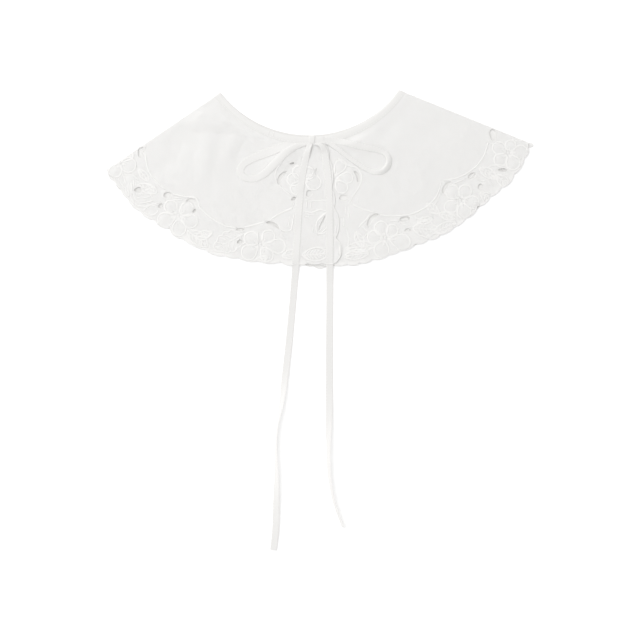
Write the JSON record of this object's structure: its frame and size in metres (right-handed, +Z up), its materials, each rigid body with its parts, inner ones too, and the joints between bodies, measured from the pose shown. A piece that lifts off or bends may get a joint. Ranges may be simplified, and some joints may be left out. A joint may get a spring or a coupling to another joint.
{
  "type": "false collar",
  "caption": "Wide white cotton false collar with a cutwork and embroidered border, laid flat and folded at the shoulders, with tapes tied in a bow at the centre front.",
  "frame": {"origin": "middle of the collar's own box, without its tie tails, on the surface it lies on", "axes": "+Z up off the surface, +Y from the hem to the neck, +X to the viewer's right"},
  "size_m": [0.406, 0.4378, 0.0116],
  "materials": {
    "cotton": "white cotton lawn with tone-on-tone embroidery, matt",
    "binding": "white cotton bias binding, matt",
    "tape": "white cotton tape with two edge stitch lines, matt"
  },
  "bodies": {
    "root": {"back_panel": "cotton", "front_left_panel": "cotton", "front_right_panel": "cotton", "neck_binding_back": "binding", "neck_binding_left": "binding", "neck_binding_right": "binding", "tie_knot": "tape", "tie_loop_left": "tape", "tie_loop_right": "tape", "tie_tail_left": "tape", "tie_tail_right": "tape"}
  },
  "joints": []
}
